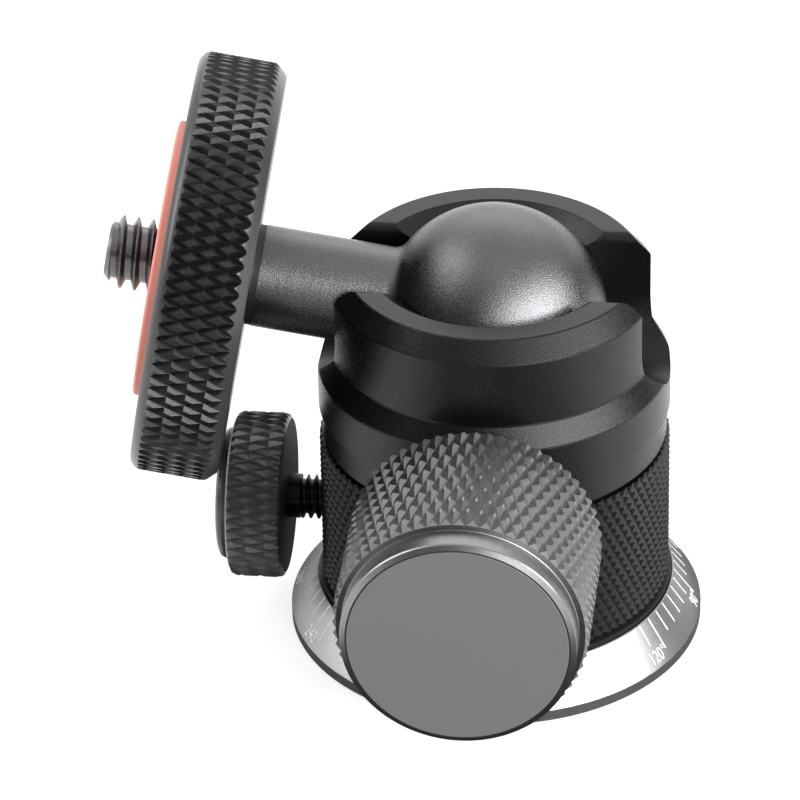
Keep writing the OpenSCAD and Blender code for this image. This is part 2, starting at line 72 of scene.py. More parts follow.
BUSH_R, HUB_SCREWS_R, HUB_SCREW_R, WELL_R, WELL_DEPTH = 4.22, 6.8, 1.27, 2.22, 1.25

ball_centre = Vector(joints["ball_tilt"]["pos_m"])
stem_axis = Vector(joints["camera_spin"]["axis"]).normalized()


def placed(origin, axis, upward=Vector((0, 0, 1))):
    """Matrix that carries a piece built along local +Z onto an axis, with its local +Y upwards."""
    side = upward.cross(axis).normalized()
    up = axis.cross(side)
    turn = Matrix((side, up, axis)).transposed().to_4x4()
    return Matrix.Translation(origin) @ turn


UPRIGHT = Matrix.Identity(4)
ON_STEM = placed(ball_centre, stem_axis)
ON_LOCK = placed(Vector((0, 0, LOCK_Z * MM)), Vector((0, -1, 0)))
ON_PAN = placed(Vector((0, 0, PAN_Z * MM)), Vector((-1, 0, 0)))


def linked(obj):
    """Object brought into the scene."""
    bpy.context.scene.collection.objects.link(obj)
    return obj


# ---------------------------------------------------------------- mesh tools, all in millimetres
def solid(name, verts, faces):
    """Closed mesh object from points and faces, with its faces turned outwards."""
    mesh = bpy.data.meshes.new(name)
    mesh.from_pydata(verts, [], faces)
    bm = bmesh.new()
    bm.from_mesh(mesh)
    bmesh.ops.remove_doubles(bm, verts=bm.verts, dist=1e-5)
    bmesh.ops.recalc_face_normals(bm, faces=bm.faces)
    bm.to_mesh(mesh)
    bm.free()
    return linked(bpy.data.objects.new(name, mesh))


def softened(profile, size=0.1, share=0.3):
    """Closed outline with every corner off the axis cut back by a small chamfer."""
    points = []
    for i, (r, z) in enumerate(profile):
        before, after = profile[i - 1], profile[(i + 1) % len(profile)]
        if r < 1e-6:
            points.append((r, z))
            continue
        for other in (before, after):
            length = math.hypot(other[0] - r, other[1] - z)
            step = min(size, share * length) / length
            points.append((r + (other[0] - r) * step, z + (other[1] - z) * step))
    return points


def turned(name, profile, steps=ROUND):
    """Solid turned from a closed outline of (radius, height) points."""
    verts, rings = [], []
    for radius, height in profile:
        first = len(verts)
        if radius < 1e-6:
            verts.append((0, 0, height))
            rings.append([first] * steps)
            continue
        for k in range(steps):
            angle = TAU * k / steps
            verts.append((radius * math.cos(angle), radius * math.sin(angle), height))
        rings.append(list(range(first, first + steps)))
    faces = []
    for ring, following in zip(rings, rings[1:] + rings[:1]):
        for k in range(steps):
            n = (k + 1) % steps
            corners = list(dict.fromkeys([ring[k], ring[n], following[n], following[k]]))
            if len(corners) > 2:
                faces.append(corners)
    return solid(name, verts, faces)


def knurled(name, crest, root, around, period, low, high, cover=0.0, top=0.0):
    """Rod with a diamond knurl: crests and groove crossings alternate on a lattice.

    Crests that stand above the blank are cut flat where blank and rod are combined.
    With cover, the rod goes on above the knurl as a plain cylinder of that radius, up to top."""
    columns, rows = 2 * around, math.ceil((high - low) / (period / 2))
    step = (high - low) / rows if cover else period / 2
    verts = []
    for i in range(rows + 1):
        for j in range(columns):
            radius = crest if (i + j) % 2 == 0 else root
            angle = TAU * j / columns
            verts.append((radius * math.cos(angle), radius * math.sin(angle), low + i * step))
    faces = []
    for i in range(rows):
        for j in range(columns):
            n = (j + 1) % columns
            a, b = i * columns + j, i * columns + n
            c, d = (i + 1) * columns + n, (i + 1) * columns + j
            faces += [(a, b, d), (b, c, d)] if (i + j) % 2 == 0 else [(a, b, c), (a, c, d)]
    last = rows
    if cover:
        for height in (high + 0.05, top):
            for j in range(columns):
                angle = TAU * j / columns
                verts.append((cover * math.cos(angle), cover * math.sin(angle), height))
            for j in range(columns):
                n = (j + 1) % columns
                faces.append((last * columns + j, last * columns + n,
                              (last + 1) * columns + n, (last + 1) * columns + j))
            last += 1
    for ring, height in ((0, low), (last, verts[last * columns][2])):
        centre = len(verts)
        verts.append((0, 0, height))
        faces += [(ring * columns + j, ring * columns + (j + 1) % columns, centre)
                  for j in range(columns)]
    return solid(name, verts, faces)


def threaded(name, crest, root, pitch, low, high, steps=96):
    """Rod with a right-hand thread whose flats and flanks follow the helix."""
    outline = [(root, 0.0), (root, 0.2), (crest, 0.44), (crest, 0.56), (root, 0.8)]
    per_turn = len(outline)
    turns = math.ceil((high - low) / pitch) + 1
    count = turns * per_turn
    verts = []
    for q in range(count):
        r, share = outline[q % per_turn]
        for j in range(steps):
            angle = TAU * j / steps
            height = low + pitch * (q // per_turn + share + j / steps)
            verts.append((r * math.cos(angle), r * math.sin(angle), height))
    faces = []
    for q in range(count - per_turn - 1):
        for j in range(steps):
            if j < steps - 1:
                faces.append((q * steps + j, q * steps + j + 1,
                              (q + 1) * steps + j + 1, (q + 1) * steps + j))
            else:
                faces.append((q * steps + j, (q + per_turn) * steps,
                              (q + per_turn + 1) * steps, (q + 1) * steps + j))
    last = count - per_turn - 1
    lower = list(range(steps)) + [k * steps for k in range(per_turn, 0, -1)]
    upper = ([last * steps + j for j in range(steps)]
             + [(last + k) * steps for k in range(per_turn, 0, -1)])
    for loop, height in ((lower, low - pitch), (upper, verts[upper[-1]][2] + 2 * pitch)):
        centre = len(verts)
        verts.append((0, 0, height))
        faces += [(loop[k], loop[(k + 1) % len(loop)], centre) for k in range(len(loop))]
    return solid(name, verts, faces)


def extruded(name, outline, low, high):
    """Prism of an (x, y) outline between two heights."""
    count = len(outline)
    verts = [(x, y, z) for z in (low, high) for x, y in outline]
    faces = [tuple(range(count)), tuple(range(count, 2 * count))]
    faces += [(k, (k + 1) % count, count + (k + 1) % count, count + k) for k in range(count)]
    return solid(name, verts, faces)


def combined(base, tool, operation="DIFFERENCE"):
    """Base cut by, joined with or kept within the tool, as one plain mesh."""
    modifier = base.modifiers.new("combine", "BOOLEAN")
    modifier.solver = "MANIFOLD"
    modifier.operation = operation
    modifier.object = tool
    graph = bpy.context.evaluated_depsgraph_get()
    mesh = bpy.data.meshes.new_from_object(base.evaluated_get(graph))
    if len(mesh.polygons) < 4:
        raise RuntimeError(f"{base.name}: {operation} with {tool.name} left no solid")
    base.modifiers.clear()
    base.data = mesh
    bpy.data.objects.remove(tool)
    return base


def moved(obj, matrix):
    """Piece with its mesh carried along by a matrix."""
    obj.data.transform(matrix)
    return obj


def dressed(obj, matrix, body, slot, material, *replaced, smooth=SMOOTH_BELOW):
    """Piece in its place on a body, with its finish and the CAD nodes that it stands for."""
    mesh = obj.data
    mesh.transform(matrix @ Matrix.Scale(MM, 4))
    mesh.shade_smooth()
    mesh.set_sharp_from_angle(angle=smooth)
    mesh.materials.clear()
    mesh.materials.append(material)
    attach(obj, body)
    if replaced:
        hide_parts(*replaced)


def smooth_bevels(obj, least=0.2, most=0.97):
    """Faces of a knurled piece that its blank left smooth and slanted."""
    found = []
    for face in obj.data.polygons:
        centre, normal = face.center, face.normal
        around = (centre.x * normal.y - centre.y * normal.x) / max(centre.xy.length, 1e-6)
        if abs(around) < 0.03 and least < abs(normal.z) < most and centre.xy.length > STUD_R + 1:
            found.append(face.index)
    return found


def refinished(obj, indices, material):
    """Second finish on some faces of a piece."""
    obj.data.materials.append(material)
    last = len(obj.data.materials) - 1
    for index in indices:
        obj.data.polygons[index].material_index = last


# ---------------------------------------------------------------- finishes
def shader(name):
    """New node material, its node tree, its principled shader and its coordinates in millimetres."""
    material = bpy.data.materials.new(name)
    material.use_nodes = True
    tree = material.node_tree
    principled = tree.nodes["Principled BSDF"]
    place = tree.nodes.new("ShaderNodeTexCoord")
    scale = tree.nodes.new("ShaderNodeVectorMath")
    scale.operation = "SCALE"
    scale.inputs["Scale"].default_value = 1 / MM
    tree.links.new(place.outputs["Object"], scale.inputs[0])
    return material, tree, principled, scale.outputs["Vector"]


def noise(tree, place, per_mm, detail=2.0, rough=0.5):
    """Grey noise with about so many cells to a millimetre."""
    node = tree.nodes.new("ShaderNodeTexNoise")
    node.inputs["Scale"].default_value = per_mm
    node.inputs["Detail"].default_value = detail
    node.inputs["Roughness"].default_value = rough
    tree.links.new(place, node.inputs["Vector"])
    return node.outputs["Fac"]


def ramp(tree, value, stops):
    """Colours or grey levels over a value."""
    node = tree.nodes.new("ShaderNodeValToRGB")
    ends = node.color_ramp.elements
    while len(ends) < len(stops):
        ends.new(0.5)
    for end, (position, colour) in zip(ends, stops):
        end.position = position
        end.color = (*colour, 1) if hasattr(colour, "__len__") else (colour, colour, colour, 1)
    tree.links.new(value, node.inputs["Fac"])
    return node.outputs["Color"]


def bump(tree, principled, height, strength, distance_mm):
    """Relief of the surface after a grey value."""
    node = tree.nodes.new("ShaderNodeBump")
    node.inputs["Strength"].default_value = strength
    node.inputs["Distance"].default_value = distance_mm * MM
    tree.links.new(height, node.inputs["Height"])
    tree.links.new(node.outputs["Normal"], principled.inputs["Normal"])


def shaded(colour, factor):
    """Colour made darker or lighter by a factor."""
    return tuple(c * factor for c in colour)


def anodised(name, colour, rough, grain, grain_mm=0.12, spread=0.12, metallic=1.0, mottle=0.08, gloss=0.5):
    """Bead-blasted anodised metal: fine grain in the colour, the gloss and the surface."""
    material, tree, principled, place = shader(name)
    fine = noise(tree, place, 1 / grain_mm, 3.0, 0.6)
    broad = noise(tree, place, 0.35, 2.0)
    tone = ramp(tree, fine, [(0.3, shaded(colour, 1 - spread)), (0.7, shaded(colour, 1 + spread))])
    wash = ramp(tree, broad, [(0.3, 1 - mottle), (0.7, 1.0)])
    mix = tree.nodes.new("ShaderNodeMix")
    mix.data_type = "RGBA"
    mix.blend_type = "MULTIPLY"
    mix.inputs["Factor"].default_value = 1.0
    tree.links.new(tone, mix.inputs["A"])
    tree.links.new(wash, mix.inputs["B"])
    tree.links.new(mix.outputs["Result"], principled.inputs["Base Color"])
    tree.links.new(ramp(tree, fine, [(0.25, rough - 0.06), (0.75, rough + 0.06)]),
                   principled.inputs["Roughness"])
    principled.inputs["Metallic"].default_value = metallic
    principled.inputs["Specular IOR Level"].default_value = gloss
    bump(tree, principled, fine, grain, 0.05)
    return material


def lathed(name, colour, rough, line_mm=0.05, strength=0.25, spread=0.05):
    """Turned metal: fine rings about the upright axis, from the distance to it and along it."""
    material, tree, principled, place = shader(name)
    split = tree.nodes.new("ShaderNodeSeparateXYZ")
    tree.links.new(place, split.inputs[0])
    squares = []
    for output in (split.outputs["X"], split.outputs["Y"]):
        node = tree.nodes.new("ShaderNodeMath")
        node.operation = "MULTIPLY"
        tree.links.new(output, node.inputs[0])
        tree.links.new(output, node.inputs[1])
        squares.append(node.outputs[0])
    total = tree.nodes.new("ShaderNodeMath")
    total.operation = "ADD"
    tree.links.new(squares[0], total.inputs[0])
    tree.links.new(squares[1], total.inputs[1])
    root = tree.nodes.new("ShaderNodeMath")
    root.operation = "SQRT"
    tree.links.new(total.outputs[0], root.inputs[0])
    join = tree.nodes.new("ShaderNodeCombineXYZ")
    tree.links.new(root.outputs[0], join.inputs["X"])
    tree.links.new(split.outputs["Z"], join.inputs["Y"])
    rings = noise(tree, join.outputs[0], 1 / line_mm, 3.0, 0.7)
    tree.links.new(ramp(tree, rings, [(0.3, shaded(colour, 1 - spread)), (0.7, colour)]),
                   principled.inputs["Base Color"])
    tree.links.new(ramp(tree, rings, [(0.3, rough - 0.05), (0.7, rough + 0.05)]),
                   principled.inputs["Roughness"])
    principled.inputs["Metallic"].default_value = 1.0
    bump(tree, principled, rings, strength, 0.004)
    return material


def moulded(name, colour, rough, grain_mm=0.2, strength=0.3, spread=0.06):
    """Moulded rubber or plastic with a fine texture."""
    material, tree, principled, place = shader(name)
    fine = noise(tree, place, 1 / grain_mm, 4.0, 0.6)
    broad = noise(tree, place, 0.4, 2.0)
    tree.links.new(ramp(tree, broad, [(0.3, shaded(colour, 1 - spread)), (0.7, colour)]),
                   principled.inputs["Base Color"])
    tree.links.new(ramp(tree, fine, [(0.3, rough - 0.05), (0.7, rough + 0.08)]),
                   principled.inputs["Roughness"])
    bump(tree, principled, fine, strength, 0.03)
    return material


def blackened(name, colour, rough, grain, gloss, grain_mm=0.12):
    """Black anodised surface, whose dye hides the metal."""
    return anodised(name, colour, rough, grain, grain_mm, metallic=0.0, gloss=gloss)


black = blackened("black_satin", (0.004, 0.004, 0.0044), 0.28, 0.5, 0.34, grain_mm=0.11)
black_knurl = blackened("black_knurled", (0.011, 0.011, 0.012), 0.36, 0.3, 0.45)
black_pan = blackened("black_pan_knob", (0.05, 0.05, 0.0515), 0.34, 0.3, 0.6)
black_disc = blackened("black_disc", (0.006, 0.006, 0.0064), 0.3, 0.2, 0.42, grain_mm=0.16)
black_edge = blackened("black_edge", (0.036, 0.036, 0.038), 0.3, 0.1, 0.6)
black_matte = blackened("black_matte", (0.012, 0.012, 0.0125), 0.6, 0.3, 0.25)
gunmetal = anodised("gunmetal_blasted", (0.15, 0.15, 0.155), 0.26, 0.7, spread=0.2)
knob_grey = anodised("knob_anodised", (0.26, 0.26, 0.264), 0.34, 0.15, grain_mm=0.1, spread=0.04,
                     mottle=0.02)
knob_face = anodised("knob_face_satin", (0.142, 0.142, 0.146), 0.5, 0.12, grain_mm=0.1, spread=0.03,
                     metallic=0.0, mottle=0.02, gloss=0.3)
silver = anodised("silver_blasted", (0.4, 0.4, 0.396), 0.34, 0.3, grain_mm=0.1, spread=0.06, mottle=0.05)
rim_grey = anodised("silver_rim", (0.42, 0.42, 0.425), 0.4, 0.3, grain_mm=0.1, spread=0.05)
steel = lathed("steel_turned", (0.55, 0.55, 0.56), 0.3)
dark_steel = anodised("steel_blackened", (0.17, 0.17, 0.174), 0.3, 0.15, grain_mm=0.1)
# Black oxide steel of the pan screw; the same dark material is also put on the base's flat top as a
# painted shadow
black_oxide_and_shadow = anodised("steel_black_oxide_and_painted_shadow", (0.02, 0.02, 0.021), 0.3, 0.1, grain_mm=0.1)
brass = lathed("brass_turned", (0.72, 0.55, 0.25), 0.28)
acetal = moulded("acetal_moulded", (0.78, 0.76, 0.70), 0.4)
plastic = moulded("black_moulded", (0.008, 0.008, 0.008), 0.5)
rubber = moulded("coral_rubber", (0.90, 0.30, 0.235), 0.55)
paint = moulded("mark_paint", (0.85, 0.85, 0.84), 0.5)
card_black = moulded("card_black", (0.02, 0.02, 0.02), 0.9)
card_grey = moulded("card_grey", (0.25, 0.25, 0.25), 0.9)
# Grey of the card under the base: painted shadow of the floor close round the base, as reflections show it
card_painted_shadow = moulded("card_painted_shadow", (0.1, 0.1, 0.1), 0.9)

# ---------------------------------------------------------------- housing
outer = [(0, BODY_LOW), (BODY_R - 0.25, BODY_LOW), (BODY_R, BODY_LOW + 0.25), (BODY_R, KNURL_TOP),
         (BAND_R - 0.5, KNURL_TOP), (BAND_R - 0.5, BAND_LOW), (BAND_R, BAND_LOW), (BAND_R, COLLAR_LOW),
         (BODY_R, COLLAR_LOW), (BODY_R, LEDGE_LOW), (UPPER_R, LEDGE_TOP),
         (UPPER_R, BODY_TOP - TOP_BEVEL), (RIM_R, BODY_TOP), (0, BODY_TOP)]
housing = turned("housing_body", softened(outer, 0.09))
housing = combined(housing, knurled("body_knurl", BODY_R + 0.06, BODY_R - 0.3, 100, 1.72,
                                    BODY_LOW - 0.5, KNURL_TOP + 0.1, cover=BODY_R + 2, top=BODY_TOP + 2),
                   "INTERSECT")
lip_z = BALL_Z + math.sqrt(SOCKET_R ** 2 - LIP_R ** 2)
lip_angle = math.asin((lip_z - BALL_Z) / SOCKET_R)
socket = [(SOCKET_R * math.cos(lip_angle * k / 24), BALL_Z + SOCKET_R * math.sin(lip_angle * k / 24))
          for k in range(25)]
bore = turned("bore", [(0, BODY_LOW - 1), (BORE_R, BODY_LOW - 1), (BORE_R, BORE_TOP), (SOCKET_R, BORE_TOP)]
              + socket
              + [(MOUTH_R - MOUTH_BEVEL, BODY_TOP - MOUTH_BEVEL), (MOUTH_R + 0.1, BODY_TOP + 0.01),
                 (MOUTH_R + 0.1, BODY_TOP + 1), (0, BODY_TOP + 1)])
housing = combined(housing, bore)

# Notch outline across the drop direction: a round floor, straight sides and a rounded lip
rim_h = BODY_TOP - BALL_Z
arc = []
for k in range(49):
    angle = math.pi + math.pi * k / 48
    arc.append((NOTCH_HALF * math.cos(angle), NOTCH_HALF * math.sin(angle)))
flare = []
for k in range(11):
    angle = math.pi / 2 * k / 10
    flare.append((NOTCH_HALF + NOTCH_ROUND * (1 - math.cos(angle)),
                  rim_h - NOTCH_ROUND + NOTCH_ROUND * math.sin(angle)))
right_side = flare + [(NOTCH_HALF + NOTCH_ROUND + 0.05, rim_h + 1)]
notch_outline = arc + right_side + [(-x, y) for x, y in reversed(right_side)]
notch = extruded("notch", notch_outline, -20, 20)
along_x = Matrix(((0, 0, 1), (1, 0, 0), (0, 1, 0))).to_4x4()
moved(notch, Matrix.Translation((0, 0, BALL_Z)) @ along_x)
housing = combined(housing, notch)
spot = turned("spot", [(0, 5), (LOCK_HOLE_R, 5), (LOCK_HOLE_R, SPOT_Y), (SPOT_R, SPOT_Y),
                       (SPOT_R, 20), (0, 20)], 96)
housing = combined(housing, moved(spot, Matrix.Translation((0, 0, LOCK_Z)) @ ON_LOCK.to_3x3().to_4x4()))
hole = turned("hole", [(0, 5), (PAN_HOLE_R, 5), (PAN_HOLE_R, 20), (0, 20)], 64)
housing = combined(housing, moved(hole, Matrix.Translation((0, 0, PAN_Z)) @ ON_PAN.to_3x3().to_4x4()))
dressed(housing, UPRIGHT, "housing", "black_anodised", black, "housing", smooth=math.radians(12))
band = [face.index for face in housing.data.polygons
        if face.center.z < KNURL_TOP * MM and face.center.xy.length > (BODY_R - 0.4) * MM]
refinished(housing, band, black_knurl)

# ---------------------------------------------------------------- locking disc, pad and camera stud
disc_front = DISC_BACK + DISC_T
blank = turned("disc_body", [
    (STUD_R + 0.06, DISC_BACK), (DISC_R - 1.15, DISC_BACK), (DISC_R - 0.95, DISC_BACK + 0.05),
    (DISC_R - 0.78, DISC_BACK + 0.18), (DISC_R - 0.22, DISC_BACK + 0.8), (DISC_R - 0.07, DISC_BACK + 1.0),
    (DISC_R, DISC_BACK + 1.25), (DISC_R, disc_front - 0.9), (DISC_R - 0.06, disc_front - 0.66),
    (DISC_R - 0.2, disc_front - 0.42), (DISC_R - 0.55, disc_front - 0.12), (DISC_R - 0.85, disc_front),
    (PAD_R + 0.1, disc_front), (PAD_R + 0.02, disc_front - 0.08),
    (PAD_R + 0.02, disc_front - PAD_DEPTH), (STUD_R + 0.06, disc_front - PAD_DEPTH)])
disc = combined(blank, knurled("disc_knurl", DISC_R + 0.25, DISC_R - 0.33, 93, 3.7,
                               DISC_BACK - 2.6, disc_front - DISC_BEVEL, cover=DISC_R + 2,
                               top=disc_front + 2), "INTERSECT")
bevels = smooth_bevels(disc)
dressed(disc, ON_STEM, "disc", "black_anodised", black_disc, "lock_disc")
refinished(disc, bevels, black_edge)

pad_low, pad_front = disc_front - PAD_DEPTH, disc_front + PAD_PROUD
pad = turned("disc_pad_ring", [
    (STUD_R + 0.15, pad_low), (PAD_R, pad_low), (PAD_R, pad_front - 0.3), (PAD_R - 0.03, pad_front - 0.18),
    (PAD_R - 0.1, pad_front - 0.08), (PAD_R - 0.3, pad_front), (STUD_R + 0.4, pad_front),
    (STUD_R + 0.22, pad_front - 0.06), (STUD_R + 0.15, pad_front - 0.2)])
dressed(pad, ON_STEM, "disc", "pad_rubber", rubber, "disc_pad")

stud_tip = pad_front + STUD_REACH
blank = turned("camera_screw", [
    (0, STEM_END - STUD_DEPTH), (SHANK_R, STEM_END - STUD_DEPTH), (SHANK_R, pad_front + UNDERCUT),
    (STUD_R, pad_front + UNDERCUT), (STUD_R, stud_tip - 1.0), (STUD_TIP_R, stud_tip), (0, stud_tip)])
rod = threaded("stud_thread", STUD_R, STUD_ROOT, STUD_PITCH, STEM_END - STUD_DEPTH - 2, stud_tip + 2)
moved(rod, Matrix.Rotation(math.radians(200), 4, "Z"))
stud = combined(blank, rod, "INTERSECT")
dressed(stud, ON_STEM, "stud", "dark_steel", dark_steel, "camera_stud")

washer = turned("disc_washer_ring", [
    (STUD_R + 0.06, STEM_END + 0.005), (STEM_R - 0.06, STEM_END + 0.005),
    (STEM_R - 0.06, DISC_BACK - 0.005), (STUD_R + 0.06, DISC_BACK - 0.005)])
dressed(washer, ON_STEM, "disc_slide", "black_plastic", plastic, "disc_washer")

# ---------------------------------------------------------------- main lock knob
front = LOCK_BACK + LOCK_KNURL
face_y = front + LOCK_STEP
blank = turned("lock_knob_body", [
    (LOCK_BORE_R, LOCK_HUB), (LOCK_HUB_R - 0.1, LOCK_HUB), (LOCK_HUB_R, LOCK_HUB + 0.1),
    (LOCK_HUB_R, LOCK_BACK), (LOCK_R - LOCK_BEVEL, LOCK_BACK), (LOCK_R, LOCK_BACK + LOCK_BEVEL),
    (LOCK_R, front - LOCK_BEVEL), (LOCK_R - LOCK_BEVEL, front), (LOCK_STEP_R + 0.06, front),
    (LOCK_STEP_R, front + 0.05), (LOCK_STEP_R, face_y - 0.35), (LOCK_STEP_R - 0.08, face_y - 0.22),
    (LOCK_STEP_R - 0.48, face_y), (LOCK_CAP_R + 0.03, face_y), (LOCK_CAP_R + GAP, face_y - LOCK_CAP_T),
    (LOCK_POCKET_R, face_y - LOCK_CAP_T), (LOCK_POCKET_R, LOCK_POCKET), (LOCK_BORE_R, LOCK_POCKET)])
knob = combined(blank, knurled("lock_knurl", LOCK_R + 0.12, LOCK_R - 0.4, 60, 3.4,
                               LOCK_HUB - 2, face_y + 2), "INTERSECT")
edge = [face.index for face in knob.data.polygons
        if front - LOCK_BEVEL < face.center.z < front - 0.01 and 0.2 < face.normal.z < 0.97
        and face.center.xy.length > LOCK_R - LOCK_BEVEL]
dressed(knob, ON_LOCK, "lock_knob", "knob_grey", knob_grey, "lock_knob")
refinished(knob, edge, knob_face)
cap = turned("lock_knob_face", [
    (0, face_y - LOCK_CAP_T + GAP), (LOCK_CAP_R, face_y - LOCK_CAP_T + GAP),
    (LOCK_CAP_R, face_y + LOCK_CAP_PROUD - 0.03), (LOCK_CAP_R - 0.03, face_y + LOCK_CAP_PROUD),
    (0, face_y + LOCK_CAP_PROUD)])
dressed(cap, ON_LOCK, "lock_knob", "knob_grey", knob_face, "lock_knob_cap")

# ---------------------------------------------------------------- pan lock knob and its screw
low_end, high_end = PAN_BACK + PAN_BEVEL, PAN_BACK + PAN_BEVEL + PAN_KNURL
pan_face = high_end + PAN_BOSS
blank = turned("pan_knob_body", [
    (PAN_SCREW_R + GAP, PAN_BACK), (PAN_R - PAN_BEVEL, PAN_BACK), (PAN_R - 0.15, PAN_BACK + 0.2),
    (PAN_R, low_end), (PAN_R, high_end - PAN_END), (PAN_R - 0.18, high_end - 0.2),
    (PAN_R - PAN_END, high_end),
    (PAN_BOSS_R + 0.12, high_end), (PAN_BOSS_R + 0.12, high_end - 0.25), (PAN_BOSS_R, high_end - 0.25),
    (PAN_BOSS_R, pan_face - 0.5), (PAN_BOSS_R - 0.15, pan_face - 0.2), (PAN_BOSS_R - 0.5, pan_face),
    (PAN_CAP_R + GAP, pan_face), (PAN_CAP_R + GAP, pan_face - PAN_CAP_T - GAP),
    (PAN_SCREW_R + GAP, pan_face - PAN_CAP_T - GAP)], 192)
pan_knob = combined(blank, knurled("pan_knurl", PAN_R + 0.16, PAN_R - 0.32, 44, 3.33,
                                   PAN_BACK - 2, pan_face + 2), "INTERSECT")
bevels = smooth_bevels(pan_knob)
inner = [face.index for face in pan_knob.data.polygons if face.center.z < PAN_BACK + 0.01]
dressed(pan_knob, ON_PAN, "pan_knob", "black_anodised", black_pan, "pan_knob")
refinished(pan_knob, bevels, black_edge)
refinished(pan_knob, inner, black_matte)
cap = turned("pan_knob_face", softened([
    (0, pan_face - PAN_CAP_T), (PAN_CAP_R, pan_face - PAN_CAP_T), (PAN_CAP_R, pan_face),
    (0, pan_face)], 0.06), 128)
dressed(cap, ON_PAN, "pan_knob", "black_anodised", black_pan, "pan_knob_cap")

screw_end = pan_face - PAN_CAP_T - 2 * GAP
thread_end = PAN_BACK - PAN_SHOULDER
core = turned("pan_screw", [
    (0, PAN_SCREW_TIP), (PAN_SCREW_R - 0.35, PAN_SCREW_TIP), (PAN_SCREW_R, PAN_SCREW_TIP + 0.35),
    (PAN_SCREW_R, screw_end), (0, screw_end)], 96)
rod = threaded("pan_thread", PAN_SCREW_R, PAN_SCREW_ROOT, PAN_PITCH, PAN_SCREW_TIP - 1.5, thread_end)
shoulder = turned("shoulder", [(0, thread_end), (PAN_SCREW_R, thread_end), (PAN_SCREW_R, screw_end + 1),
                               (0, screw_end + 1)], 96)
rod = combined(rod, shoulder, "UNION")
screw = combined(core, rod, "INTERSECT")
dressed(screw, ON_PAN, "pan_knob", "dark_steel", black_oxide_and_shadow, "pan_lock_screw")

# ---------------------------------------------------------------- graduated base
base = turned("base_body", [
    (BUSH_R, 0), (BASE_R - 0.2, 0), (BASE_R, 0.2), (BASE_R, RIM_H - 0.07), (BASE_R - 0.06, RIM_H + 0.04),
    (CONE_TOP_R + 0.05, CONE_TOP - 0.06), (CONE_TOP_R - 0.06, CONE_TOP), (BUSH_R, CONE_TOP)], 360)
for k in range(3):
    angle = math.radians(90 + 120 * k)
    well = turned("well", [(0, -1), (WELL_R, -1), (WELL_R, 0.3), (HUB_SCREW_R, WELL_DEPTH),
                           (HUB_SCREW_R, 6), (0, 6)], 64)
    moved(well, Matrix.Translation((HUB_SCREWS_R * math.cos(angle), HUB_SCREWS_R * math.sin(angle), 0)))
    base = combined(base, well)
dressed(base, UPRIGHT, "base", "silver", silver, "base_ring")
rim = [face.index for face in base.data.polygons if face.center.z < (RIM_H - 0.02) * MM]
refinished(base, rim, rim_grey)
# The flat top of the cone, where the housing sits on it, is painted black: a painted shadow under the
# housing's lower edge
painted_shadow_top = [face.index for face in base.data.polygons if face.center.z > (CONE_TOP - 0.01) * MM]
refinished(base, painted_shadow_top, black_oxide_and_shadow)

# Dial: a mark every 5 degrees, longer every 30, with its number at the longer ones
ZERO_AT = 93.0
MARK_SHORT, MARK_LONG, MARK_START, MARK_HALF, MARK_SUNK, MARK_PROUD = 2.1, 3.1, 0.1, 0.075, 0.03, 0.012
NUMBER_SIZE, NUMBER_LINE, NUMBER_WIDTH, NUMBER_ASIDE = 1.68, 3.73, 0.72, 0.1
slant = Vector((BASE_R - CONE_TOP_R, RIM_H - CONE_TOP)).normalized()
outward = Vector((-slant.y, slant.x))


def on_cone(along, across, height, azimuth):
    """Point on the cone: along its slant from the upper edge, across it, and above it."""
    r = CONE_TOP_R + slant.x * along + outward.x * height
    z = CONE_TOP + slant.y * along + outward.y * height
    angle = azimuth + across / (CONE_TOP_R + slant.x * along)
    return (r * math.cos(angle), r * math.sin(angle), z)


def mark(verts, faces, azimuth, end):
    """Painted line down the cone, added to lists of points and faces."""
    first = len(verts)
    steps = 4
    corners = ((-MARK_HALF, -MARK_SUNK), (MARK_HALF, -MARK_SUNK),
               (MARK_HALF, MARK_PROUD), (-MARK_HALF, MARK_PROUD))
    for k in range(steps + 1):
        along = MARK_START + (end - MARK_START) * k / steps
        for across, height in corners:
            verts.append(on_cone(along, across, height, azimuth))
    for k in range(steps):
        low, high = first + 4 * k, first + 4 * k + 4
        for c in range(4):
            n = (c + 1) % 4
            faces.append((low + c, low + n, high + n, high + c))
    faces.append(tuple(first + c for c in range(4)))
    faces.append(tuple(first + 4 * steps + c for c in range(4)))


verts, faces = [], []
for value in range(0, 360, 5):
    mark(verts, faces, math.radians(ZERO_AT - value), MARK_LONG if value % 30 == 0 else MARK_SHORT)
dial = solid("dial_marks", verts, faces)
dressed(dial, UPRIGHT, "base", "silver", paint)


def number(value):
    """Numeral of the dial, set with the built-in font and wrapped on the cone."""
    curve = bpy.data.curves.new(f"numeral_{value}", "FONT")
    curve.body = f"{value}°"
    curve.size = NUMBER_SIZE
    curve.align_x = "RIGHT"
    curve.extrude = 0.02
    curve.resolution_u = 4
    text = linked(bpy.data.objects.new(f"numeral_{value}", curve))
    graph = bpy.context.evaluated_depsgraph_get()
    mesh = bpy.data.meshes.new_from_object(text.evaluated_get(graph))
    azimuth = math.radians(ZERO_AT - value)
    for v in mesh.vertices:
        v.co = on_cone(NUMBER_LINE - v.co.y, v.co.x * NUMBER_WIDTH - NUMBER_ASIDE,
                       v.co.z - MARK_PROUD, azimuth)
    bpy.data.objects.remove(text)
    numeral = linked(bpy.data.objects.new(f"dial_number_{value}", mesh))
    dressed(numeral, UPRIGHT, "base", "silver", paint)


for value in range(0, 360, 30):
    number(value)

